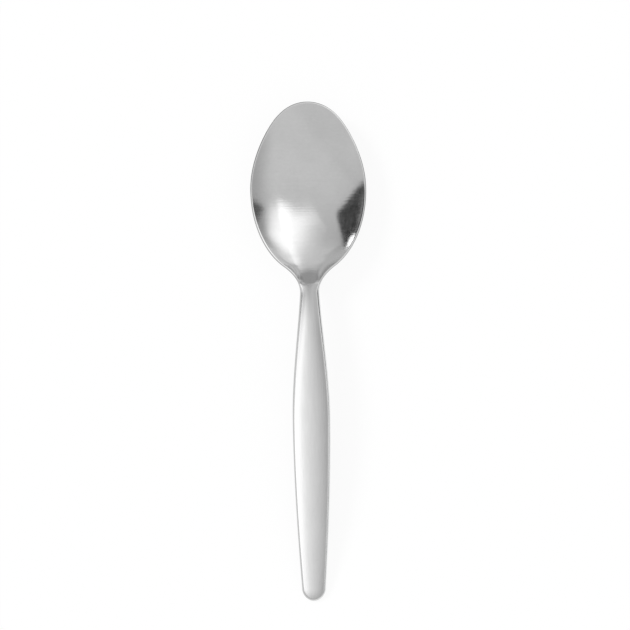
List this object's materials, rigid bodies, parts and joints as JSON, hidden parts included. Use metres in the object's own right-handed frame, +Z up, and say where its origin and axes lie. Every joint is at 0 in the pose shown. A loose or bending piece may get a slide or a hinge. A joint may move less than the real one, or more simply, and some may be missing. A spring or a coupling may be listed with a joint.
{
  "type": "demitasse spoon",
  "caption": "Small one-piece stainless steel coffee spoon with an oval polished bowl and a flat handle that swells from a slim neck and tapers to a rounded end.",
  "frame": {"origin": "on the table, under the middle of the spoon's length and width", "axes": "+Y along the spoon towards the tip of the bowl, +Z up out of the bowl, +X to the right when seen from above with the tip away"},
  "size_m": [0.0254, 0.11, 0.0088],
  "materials": {
    "bowl_steel": "bright polish with faint streaks across the bowl",
    "handle_steel": "soft satin polish"
  },
  "bodies": {
    "root": {"bowl": "bowl_steel", "handle": "handle_steel"}
  },
  "joints": []
}
